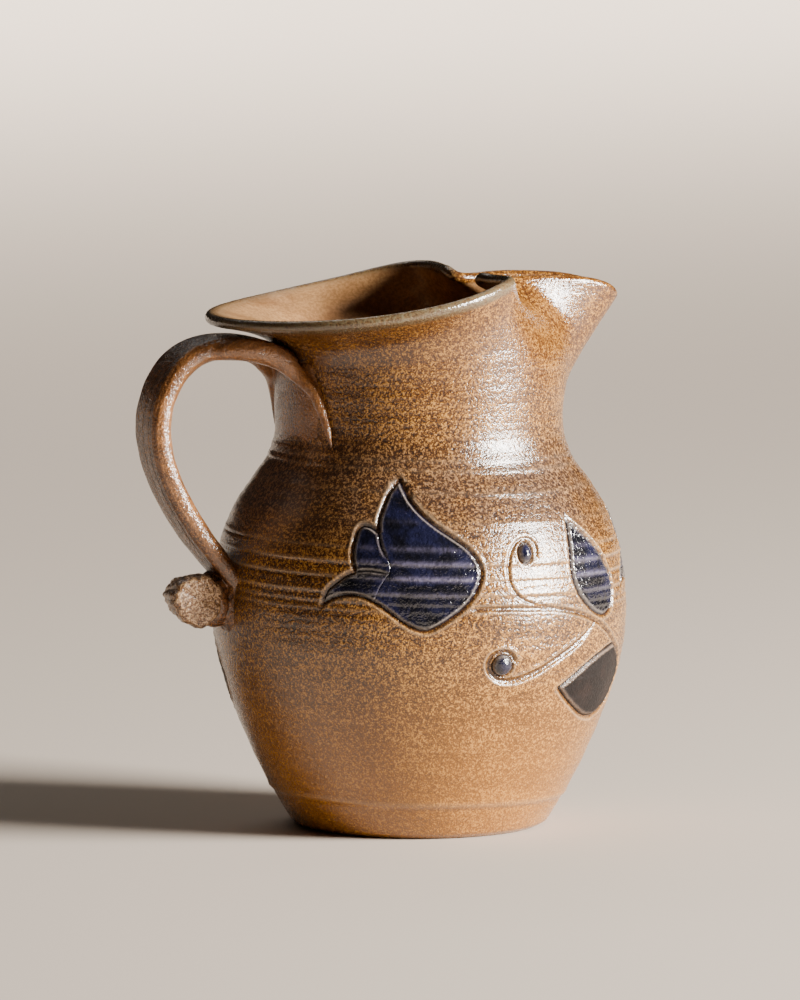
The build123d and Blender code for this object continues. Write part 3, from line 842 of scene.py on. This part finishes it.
# ---------------------------------------------------------------- handle
def tube(rings):
    """Closed mesh from equal rings of points, capped with a point at each end."""
    count = len(rings[0])
    caps = [rings[0].mean(axis=0)], [rings[-1].mean(axis=0)]
    points = np.concatenate([*rings, *caps])
    cap = len(rings) * count
    last = cap - count
    steps = [(i, (i + 1) % count) for i in range(count)]
    faces = []
    for a in range(0, last, count):
        faces += [(a + i, a + j, a + count + j, a + count + i) for i, j in steps]
    for i, j in steps:
        faces += [(j, i, cap), (last + i, last + j, cap + 1)]
    return points, faces


def swept(path, fraction, step):
    """Point of a path and its direction there."""
    here = path(fraction)[0]
    along = (path(min(fraction + step, 1)) - path(max(fraction - step, 0)))[0, :3]
    return here, along / np.linalg.norm(along)


def rounded(values, power):
    """Cosines or sines squared up by a power below 1."""
    return np.sign(values) * np.abs(values) ** power


def strap_rings():
    """Strap from the neck over and down to the belly, with beaded edges and a sunk outer face."""
    curve = cubic([(-radius, 0.0, height) for radius, height in HANDLE_PATH])
    rings = []
    turns = np.linspace(0, 2 * math.pi, 56, endpoint=False)
    for fraction in np.linspace(0, 1, 110):
        centre, along = swept(curve, fraction, 0.004)
        outward = np.cross([0, 1, 0], along)
        root = max(0.0, 1 - fraction / 0.2)
        tail = smoothstep(0.8, 1.0, fraction)
        width = STRAP_WIDTH - TAIL_NARROWING * fraction**3
        thickness = STRAP_THICKNESS - 1.2 * root - 1.4 * tail
        across = rounded(np.cos(turns), 0.78)
        through = rounded(np.sin(turns), 0.85)
        bead = BEAD_HEIGHT * bell(np.abs(across) - 0.82, 0.13) - HOLLOW_DEPTH * bell(across, 0.55)
        face = through * thickness / 2 - np.where(through < 0, bead, 0.0)
        wander = 0.25 * math.sin(fraction * 7) + 0.15 * math.sin(fraction * 17 + 1)
        sideways = np.outer(across * width / 2 + wander, [0, 1, 0])
        rings.append(centre + sideways - np.outer(face, outward))
    return rings


def patch(left, right, low, high, thickness, radius_of):
    """Pad of clay on a round wall. thickness is a function of azimuth and height."""
    azimuths = np.linspace(left, right, 60)
    heights = np.linspace(low, high, 50)
    grid = np.stack(np.meshgrid(azimuths, heights), -1).reshape(-1, 2)
    radius = radius_of(grid[:, 1])
    outer = polar(grid[:, 0], radius + thickness(grid[:, 0], grid[:, 1]), grid[:, 1])
    inner = polar(grid[:, 0], radius - 1.4, grid[:, 1])
    faces = []
    count = len(azimuths)
    total = len(grid)
    for a, b, c, d in grid_faces(0, len(heights), count):
        faces += [(a, b, c, d), (total + a, total + d, total + c, total + b)]
    edge = list(range(count)) + [count * (row + 1) - 1 for row in range(1, len(heights))]
    edge += list(range(total - 2, total - count - 1, -1))
    edge += [count * row for row in range(len(heights) - 2, 0, -1)]
    for a, b in zip(edge, edge[1:] + edge[:1]):
        faces.append((b, a, total + a, total + b))
    return np.concatenate([outer, inner]), faces


def root_thickness(azimuth, height):
    """Smear of clay under the handle's root, thickest at the strap and drawn out below."""
    offset = np.abs(azimuth - 180)
    reach = smoothstep(ROOT_SPREAD, ROOT_SPREAD - 9, offset + 0.012 * (height - 132) ** 2)
    below = smoothstep(*ROOT_FADE, height - 0.06 * offset)
    rough = 0.06 * np.sin(azimuth * 0.31 + height * 0.12)
    rough += 0.05 * np.sin(height * 0.4 - azimuth * 0.17)
    return -0.5 + (1.2 + rough) * reach * below


def tail_thickness(azimuth, height):
    """Strap's end pressed flat on the belly."""
    offset = np.abs(azimuth - 180) / TAIL_HALF_ANGLE
    rise = (height - TAIL_HEIGHT) / TAIL_HALF_HEIGHT
    press = 0.3 * np.sin(azimuth * 1.3 + height * 0.5)
    return -1.0 + (2.6 + press) * smoothstep(1.1, 0.55, np.sqrt(offset**4 + rise**4) ** 0.5)


def wing_rings(side):
    """Edge of the strap carried on over the neck, tapering to a tail."""
    places = [polar(180 + side * offset, radius, height) for offset, radius, height, _ in WING]
    path = cubic([(*place, station[3]) for place, station in zip(places, WING)])
    turns = np.linspace(0, 2 * math.pi, 24, endpoint=False)
    rings = []
    for fraction in np.linspace(0, 1, 80):
        here, along = swept(path, fraction, 0.01)
        outward = np.array([here[0], here[1], 0.0])
        outward -= along * outward.dot(along)
        outward /= np.linalg.norm(outward)
        sideways = np.cross(along, outward)
        circle = np.outer(np.cos(turns), sideways) + np.outer(np.sin(turns), outward)
        rings.append(here[:3] + here[3] * circle)
    return rings


def blob_rings(centre, size):
    """Lump of clay: an egg whose radii are given for x, y and z."""
    turns = np.linspace(0, 2 * math.pi, 40, endpoint=False)
    rings = []
    for share in np.linspace(-0.999, 0.999, 24):
        width = math.sqrt(1 - share**2) * (1 + 0.05 * np.sin(3 * turns + 4 * share))
        ring = polar(np.degrees(turns), width, share)
        rings.append(np.array(centre) + ring * size)
    return rings


def remeshed(name, points, faces, voxel, smoothing):
    """Melts parts that reach into each other into one skin and softens it."""
    thing = mesh_object(name, points, faces, {})
    bpy.context.view_layer.objects.active = thing
    thing.modifiers.new("melt", "REMESH").mode = "VOXEL"
    thing.modifiers["melt"].voxel_size = voxel * MM
    thing.modifiers.new("soften", "SMOOTH").iterations = smoothing
    graph = bpy.context.evaluated_depsgraph_get()
    mesh = bpy.data.meshes.new_from_object(thing.evaluated_get(graph))
    thing.modifiers.clear()
    thing.data = mesh
    mesh.polygons.foreach_set("use_smooth", [True] * len(mesh.polygons))
    return thing


def read_points(mesh):
    places = np.empty(len(mesh.vertices) * 3)
    mesh.vertices.foreach_get("co", places)
    normals = np.empty(len(mesh.vertices) * 3)
    mesh.vertex_normals.foreach_get("vector", normals)
    return places.reshape(-1, 3) / MM, normals.reshape(-1, 3)


def write_points(mesh, points, marks):
    mesh.vertices.foreach_set("co", (points * MM).ravel())
    write_marks(mesh, marks)
    mesh.update()


def round_centre(points, centre):
    """Distance and angle of points about a line across the handle's plane."""
    out = -points[:, 0] - centre[0]
    up = points[:, 2] - centre[1]
    return np.hypot(out, up), np.arctan2(up, out)


def joined(parts):
    """Points and faces of several meshes as one."""
    points = []
    faces = []
    for piece_points, piece_faces in parts:
        start = sum(len(block) for block in points)
        points.append(piece_points)
        faces += [tuple(start + i for i in face) for face in piece_faces]
    return np.concatenate(points), faces


def neck_radius_at(height):
    return body_radius(np.minimum(height, NECK_HEIGHT))


def make_handle():
    """Strap, wings, smeared root, pressed tail and the lump behind the curl, in one skin."""
    parts = [
        tube(strap_rings()),
        tube(wing_rings(1)),
        tube(wing_rings(-1)),
        patch(180 - ROOT_SPREAD, 180 + ROOT_SPREAD, 119.0, 152.0, root_thickness, neck_radius_at),
        patch(170.5, 189.5, 63.0, 89.5, tail_thickness, body_radius),
        tube(blob_rings(*TAIL_LUMP)),
    ]
    thing = remeshed("pulled_handle", *joined(parts), HANDLE_VOXEL, 12)
    points, normals = read_points(thing.data)
    across = points[:, 1]
    away, turn = round_centre(points, HANDLE_CENTRE)
    lines = np.sin(across * 3.6 + 0.8 * np.sin(turn * 2))
    lines += 0.8 * np.sin(across * 6.1 + 0.6 * np.sin(turn * 3.1))
    lines += 0.7 * np.sin(across * 1.35 + turn * 0.8)
    free = smoothstep(49.5, 55, np.hypot(points[:, 0], points[:, 1]))
    lumps = np.sin(points[:, 2] * 0.55 + across * 0.3) * np.sin(away * 0.5 + across * 0.21)
    points = points + normals * (0.04 * lines * free + 0.1 * lumps)[:, None]
    half = np.where(free > 0.5, STRAP_WIDTH / 2, 14.0)
    # bead: the strap's beaded edges, where its glaze takes a painted highlight.
    bead = smoothstep(0.62, 0.92, np.abs(across) / half)
    write_points(thing.data, points, {"bead": bead, "lines": lines * free})
    return thing


def make_curl():
    """Rolled terminal: the strap's end rolled across the handle and pinched into ruffles."""
    middle = np.array([-CURL_CENTRE[0], 0.0, CURL_CENTRE[1]])
    turns = np.linspace(0, 2 * math.pi, 160, endpoint=False)
    lobes = 0.05 * np.sin(3 * turns + 0.6) + 0.035 * np.sin(7 * turns + 1.0)
    rings = []
    for share in np.linspace(-1, 1, 61):
        dome = (1 - abs(share) ** 6) ** 0.4 if abs(share) < 1 else 0.0
        outer = smoothstep(-0.3, 0.5, np.cos(turns - 0.3))
        flute = CURL_FLUTES * turns / 2 + 0.9 * share + 0.5 * np.sin(3 * turns)
        pinch = np.abs(np.sin(flute)) ** 0.6
        taper = 1 - 0.16 * (share + 1) ** 1.5 / 2**0.5
        radius = CURL_RADIUS * (0.6 + 0.4 * dome) * (1.03 + lobes) * taper
        radius -= CURL_FLUTE_DEPTH * (1 - pinch) * outer * smoothstep(0.5, 0.9, dome)
        across = share * CURL_WIDTH / 2 * (1 + 0.04 * np.cos(turns * 3 + 1))
        ring = stacked(-radius * np.cos(turns), across, radius * np.sin(turns))
        rings.append(middle + ring)
    for end in (0, -1):
        rings[end] = rings[end] * 0.7 + rings[end].mean(axis=0) * 0.3
    thing = remeshed("curled_terminal", *tube(rings), CURL_VOXEL, 2)
    points, normals = read_points(thing.data)
    across = points[:, 1]
    radius, turn = round_centre(points, CURL_CENTRE)
    rough = np.sin(across * 1.7 + 2 * np.sin(turn * 3)) * np.sin(turn * 11 + across * 0.6)
    points = points + normals * (0.14 * rough)[:, None]
    # bead: the curl's ruffled outer rim, where its glaze takes painted shade.
    write_points(thing.data, points, {"bead": smoothstep(7.2, 8.6, radius), "lines": rough})
    return thing


# ---------------------------------------------------------------- materials
def linear(red, green, blue):
    """Colour given as 0-255 display values, as linear light."""
    light = []
    for value in (red, green, blue):
        share = value / 255
        light.append(((share + 0.055) / 1.055) ** 2.4 if value > 10 else share / 12.92)
    return [*light, 1]


class Paint:
    """One node material, with short helpers for its nodes."""

    def __init__(self, name):
        self.material = bpy.data.materials.new(name)
        self.material.use_nodes = True
        self.tree = self.material.node_tree
        self.surface = self.tree.nodes["Principled BSDF"]
        self.place = self.node("ShaderNodeTexCoord").outputs["Object"]

    def node(self, kind, **settings):
        made = self.tree.nodes.new(kind)
        for name, value in settings.items():
            setattr(made, name, value)
        return made

    def put(self, value, socket):
        if isinstance(value, bpy.types.NodeSocket):
            self.tree.links.new(value, socket)
        else:
            socket.default_value = value

    def math(self, operation, a, b=0.0, clamp=False):
        made = self.node("ShaderNodeMath", operation=operation, use_clamp=clamp)
        self.put(a, made.inputs[0])
        self.put(b, made.inputs[1])
        return made.outputs[0]

    def times(self, a, b, clamp=False):
        return self.math("MULTIPLY", a, b, clamp)

    def plus(self, a, b):
        return self.math("ADD", a, b)

    def less(self, a, b):
        return self.math("SUBTRACT", a, b)

    def stretched(self, scale):
        made = self.node("ShaderNodeMapping")
        self.put(self.place, made.inputs["Vector"])
        made.inputs["Scale"].default_value = scale
        return made.outputs[0]

    def noise(self, size, detail=3.0, roughness=0.55, stretch=(1, 1, 1), warp=0.0):
        """Noise with blotches about size millimetres across."""
        made = self.node("ShaderNodeTexNoise")
        self.put(self.stretched(stretch), made.inputs["Vector"])
        made.inputs["Scale"].default_value = 1 / (size * MM)
        made.inputs["Detail"].default_value = detail
        made.inputs["Roughness"].default_value = roughness
        made.inputs["Distortion"].default_value = warp
        return made.outputs["Fac"]

    def span(self, value, low, high, out_low=0.0, out_high=1.0):
        """Soft step of a value from out_low to out_high, between low and high."""
        made = self.node("ShaderNodeMapRange", interpolation_type="SMOOTHSTEP")
        self.put(value, made.inputs["Value"])
        self.put(low, made.inputs["From Min"])
        self.put(high, made.inputs["From Max"])
        self.put(out_low, made.inputs["To Min"])
        self.put(out_high, made.inputs["To Max"])
        return made.outputs["Result"]

    def climb(self, low, high):
        """Soft step between two heights above the table, in millimetres; it falls if low is the larger."""
        made = self.node("ShaderNodeSeparateXYZ")
        self.put(self.place, made.inputs[0])
        return self.span(made.outputs[2], low * MM, high * MM)

    def mix(self, share, a, b, blend="MIX"):
        made = self.node("ShaderNodeMix", data_type="RGBA", blend_type=blend)
        self.put(share, made.inputs["Factor"])
        self.put(a, made.inputs[6])
        self.put(b, made.inputs[7])
        return made.outputs[2]

    def over(self, colour, share, shade):
        """Colour with a 0-255 shade laid over it."""
        return self.mix(share, colour, linear(*shade))

    def mark(self, name):
        """Value written on the mesh's points."""
        return self.node("ShaderNodeAttribute", attribute_name=name).outputs["Fac"]

    def bump(self, layers):
        """Relief from (value, depth in millimetres) layers."""
        normal = None
        for value, depth in layers:
            made = self.node("ShaderNodeBump")
            made.inputs["Strength"].default_value = 1.0
            made.inputs["Distance"].default_value = depth * MM
            self.put(value, made.inputs["Height"])
            if normal is not None:
                self.put(normal, made.inputs["Normal"])
            normal = made.outputs[0]
        self.put(normal, self.surface.inputs["Normal"])
        self.put(normal, self.surface.inputs["Coat Normal"])

    def finish(self, colour, roughness, coat, coat_roughness=0.12):
        """Surface under a glassy coat."""
        self.put(colour, self.surface.inputs["Base Color"])
        self.put(roughness, self.surface.inputs["Roughness"])
        self.put(coat, self.surface.inputs["Coat Weight"])
        self.surface.inputs["Coat Roughness"].default_value = coat_roughness
        self.surface.inputs["Coat IOR"].default_value = COAT_IOR
        self.surface.inputs["Specular IOR Level"].default_value = GLAZE_SHINE
        return self.material


def clay_colour(paint, valley, middle, peak):
    """Mottled salt glaze: fine light grains over a darker ground, with soft bands and patches."""
    peel = paint.noise(PEEL_SIZE, 2.0, 0.6)
    grains = paint.noise(0.5, 1.0, 0.5)
    patches = paint.noise(18, 3.0, 0.6, warp=0.4)
    streaks = paint.noise(3.0, 2.0, 0.55, stretch=(0.16, 0.16, 1.4))
    tone = paint.plus(paint.times(peel, 0.66), paint.times(streaks, 0.14))
    tone = paint.plus(tone, paint.times(patches, 0.16))
    tone = paint.plus(tone, paint.times(grains, 0.4))
    colour = paint.mix(paint.span(tone, 0.54, 0.68), linear(*valley), linear(*middle))
    colour = paint.over(colour, paint.span(tone, 0.68, 0.82), peak)
    specks = paint.span(paint.noise(1.0, 1.0, 0.3), 0.22, 0.18)
    colour = paint.over(colour, paint.times(specks, 0.8), IRON_SPECK)
    return colour, peel, streaks, patches


def upper_belt(paint, peel, patches):
    """Belt of darker, greyer glaze on the upper belly: its share and its colour."""
    belt = paint.times(paint.climb(88, 108), paint.climb(138, 120))
    share = paint.times(belt, paint.span(patches, 0.3, 0.6, 0.35, 0.75))
    colour = paint.mix(paint.span(peel, 0.45, 0.65), linear(*BELT_DARK), linear(*BELT_LIGHT))
    return share, colour


def inside_colour(paint, peel):
    """Duller, paler glaze of the inside."""
    clouds = paint.span(paint.noise(26, 4.0, 0.6), 0.3, 0.7)
    colour = paint.mix(clouds, linear(*INSIDE_DARK), linear(*INSIDE_LIGHT))
    grainy = paint.times(paint.span(peel, 0.62, 0.4), 0.4)
    return paint.over(colour, grainy, INSIDE_GRAIN)


def stoneware():
    """Body glaze: golden low down, darker and greyer on the upper belly, dull inside, bare under the foot.
    """
    paint = Paint("salt_glazed_stoneware")
    colour, peel, streaks, patches = clay_colour(paint, *BODY_MOTTLE)
    colour = paint.over(colour, paint.times(paint.climb(75, 10), 0.45), GOLD)
    belt_share, belt_colour = upper_belt(paint, peel, patches)
    colour = paint.mix(belt_share, colour, belt_colour)
    colour = paint.over(colour, paint.times(paint.climb(125, 160), 0.35), NECK_BROWN)
    # Raised edges paler: thin glaze over the rings, and a painted highlight on the burrs.
    colour = paint.over(colour, paint.times(paint.mark("pale"), 0.28, True), WORN_EDGE_AND_HIGHLIGHT)
    # Incised lines darkened: pooled glaze with painted shade of the grooves.
    colour = paint.over(colour, paint.times(paint.mark("cut"), 0.85, True), LINE_GLAZE_AND_SHADE)
    inner = paint.mark("inner")
    colour = paint.mix(inner, colour, inside_colour(paint, peel))
    lip_edge = paint.times(paint.mark("lip"), paint.span(peel, 0.35, 0.65, 0.3, 0.95))
    colour = paint.over(colour, lip_edge, LIP_GLAZE)
    colour = paint.over(colour, paint.mark("bare"), BARE_CLAY)
    calm = paint.less(1.0, paint.times(inner, 0.8))
    relief = paint.times(peel, calm)
    bands = paint.times(streaks, calm)
    paint.bump([(relief, 0.2), (paint.noise(0.5, 2.0, 0.5), 0.04), (bands, 0.12)])
    rough = paint.plus(paint.span(peel, 0.3, 0.7, 0.36, 0.22), paint.times(belt_share, 0.2))
    rough = paint.plus(rough, paint.times(inner, 0.2))
    return paint.finish(colour, rough, paint.less(0.52, paint.times(inner, 0.4)))


def cobalt():
    """Nearly black blue glaze, with a paler blue where the tool combed stripes."""
    paint = Paint("cobalt_inlay")
    peel = paint.noise(INLAY_PEEL_SIZE, 2.0, 0.6)
    patches = paint.noise(11, 3.0, 0.6, warp=0.5)
    colour = paint.mix(paint.span(patches, 0.42, 0.66), linear(*COBALT_DARK), linear(*COBALT_BLUE))
    colour = paint.over(colour, paint.times(paint.span(peel, 0.6, 0.8), 0.2), COBALT_GRAIN)
    broken = paint.times(paint.span(peel, 0.3, 0.6, 0.4, 1.0), paint.span(patches, 0.3, 0.55, 0.25, 0.8))
    colour = paint.over(colour, paint.times(paint.mark("stripe"), broken, True), COBALT_STRIPE)
    # Painted highlight along the inlay's edge.
    colour = paint.over(colour, paint.times(paint.mark("edge"), 0.6, True), COBALT_EDGE_HIGHLIGHT)
    # Grooves darkened: pooled glaze and painted shade.
    colour = paint.over(colour, paint.times(paint.mark("cut"), 0.6, True), COBALT_LINE_SHADE)
    paint.bump([(peel, 0.3), (paint.noise(0.6, 2.0, 0.5), 0.06)])
    return paint.finish(colour, paint.span(peel, 0.3, 0.7, 0.3, 0.18), 0.5, 0.08)


def manganese():
    """Duller, nearly black brown glaze."""
    paint = Paint("manganese_inlay")
    peel = paint.noise(INLAY_PEEL_SIZE, 2.0, 0.6)
    patches = paint.noise(8, 3.0, 0.6)
    colour = paint.mix(paint.span(patches, 0.4, 0.65), linear(*BROWN_DARK), linear(*BROWN_LIGHT))
    # Painted highlight along the inlay's edge.
    colour = paint.over(colour, paint.times(paint.mark("edge"), 0.7, True), BROWN_EDGE_HIGHLIGHT)
    # Grooves darkened: pooled glaze and painted shade.
    colour = paint.over(colour, paint.times(paint.mark("cut"), 0.5, True), BROWN_LINE_SHADE)
    paint.bump([(peel, 0.3), (paint.noise(0.6, 2.0, 0.5), 0.06)])
    return paint.finish(colour, paint.span(peel, 0.3, 0.7, 0.62, 0.48), 0.08)


def handle_glaze(name, mottle, rim):
    """Glaze of a handle piece, with its pulled lines, and its rim laid over in the rim colour: a painted
    highlight on the strap's beads, painted shade round the curl's ruffled edge.
    """
    paint = Paint(name)
    colour, peel, _, patches = clay_colour(paint, *mottle)
    lines = paint.span(paint.mark("lines"), -1.2, 1.6)
    colour = paint.over(colour, paint.times(lines, 0.25), mottle[-1])
    # Rim colour over the beads: a painted highlight on the strap, painted shade round the curl.
    edge = paint.times(paint.mark("bead"), paint.span(patches, 0.35, 0.6, 0.2, 0.6), True)
    colour = paint.over(colour, edge, rim)
    paint.bump([(peel, 0.4), (paint.noise(0.5, 2.0, 0.5), 0.08)])
    return paint.finish(colour, paint.span(peel, 0.3, 0.7, 0.4, 0.24), 0.6, 0.14)


# ---------------------------------------------------------------- studio
def make_floor():
    corners = [(x * FLOOR_HALF, y * FLOOR_HALF, 0) for x, y in ((-1, -1), (1, -1), (1, 1), (-1, 1))]
    mesh = bpy.data.meshes.new("floor")
    mesh.from_pydata(corners, [], [(0, 1, 2, 3)])
    floor = bpy.data.objects.new("floor", mesh)
    bpy.context.scene.collection.objects.link(floor)
    paint = Paint("floor_paper")
    paint.surface.inputs["Base Color"].default_value = linear(*FLOOR_COLOUR)
    paint.surface.inputs["Roughness"].default_value = 0.9
    mesh.materials.append(paint.material)


def area_light(name, azimuth, elevation, distance, size, power, colour, aimed=True, spread=180):
    """Soft rectangular light, aimed at the pitcher or else straight down through a grid."""
    data = bpy.data.lights.new(name, "AREA")
    data.shape = "RECTANGLE"
    data.size = size[0]
    data.size_y = size[1]
    data.energy = power
    data.color = colour
    data.spread = math.radians(spread)
    light = bpy.data.objects.new(name, data)
    turn = math.radians(azimuth)
    rise = math.radians(elevation)
    outward = Vector((math.cos(turn) * math.cos(rise), math.sin(turn) * math.cos(rise), math.sin(rise)))
    light.location = Vector(LIGHT_AIM) + outward * distance
    if aimed:
        light.rotation_euler = outward.to_track_quat("Z", "Y").to_euler()
    bpy.context.scene.collection.objects.link(light)


def make_camera():
    data = bpy.data.cameras.new("camera")
    data.lens = CAMERA_LENS
    data.sensor_width = 36.0
    data.clip_end = 100.0
    camera = bpy.data.objects.new("camera", data)
    camera.location = CAMERA_PLACE
    camera.rotation_euler = (math.radians(CAMERA_TILT), 0, math.radians(CAMERA_TURN))
    bpy.context.scene.collection.objects.link(camera)
    bpy.context.scene.camera = camera


def make_studio():
    make_floor()
    area_light("window", -39, 18, 2.2, (0.85, 0.72), KEY_POWER, KEY_COLOUR)
    area_light("back", 70, 24, 10.4, (12.0, 11.0), BACK_POWER, BACK_COLOUR, aimed=False, spread=100)
    world = bpy.data.worlds.new("room")
    world.use_nodes = True
    room = world.node_tree.nodes["Background"]
    room.inputs["Color"].default_value = ROOM_COLOUR
    room.inputs["Strength"].default_value = ROOM_LIGHT
    bpy.context.scene.world = world
    make_camera()


# ---------------------------------------------------------------- the whole pitcher
def place(thing, node, slot, material):
    thing.data.materials.append(material)
    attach(thing, "root")
    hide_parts(node)


def main():
    lines, outer = make_lines()
    outlines = all_outlines()
    place(make_vessel(lines, outer, outlines), "vessel", "salt_glazed_stoneware", stoneware())
    # Strap glaze: a darker, shaded copy of the mottle, with a painted highlight on its beads.
    strap = handle_glaze("salt_glazed_handle", STRAP_SHADED_MOTTLE, STRAP_RIM_HIGHLIGHT)
    # Curl glaze, with painted shade round its ruffled rim.
    roll = handle_glaze("salt_glazed_curl", CURL_MOTTLE, CURL_RIM_SHADE)
    place(make_handle(), "handle", "salt_glazed_handle", strap)
    place(make_curl(), "handle_curl", "salt_glazed_curl", roll)
    blue = cobalt()
    brown = manganese()
    for name, outline in outlines.items():
        dome = BERRY_DOME if name.startswith("berry") else 0.0
        piece = make_inlay(f"glaze_{name}", outline, lines, dome)
        if name.startswith("leaf_lower"):
            place(piece, name, "manganese_inlay", brown)
        else:
            place(piece, name, "cobalt_inlay", blue)
    make_studio()


main()
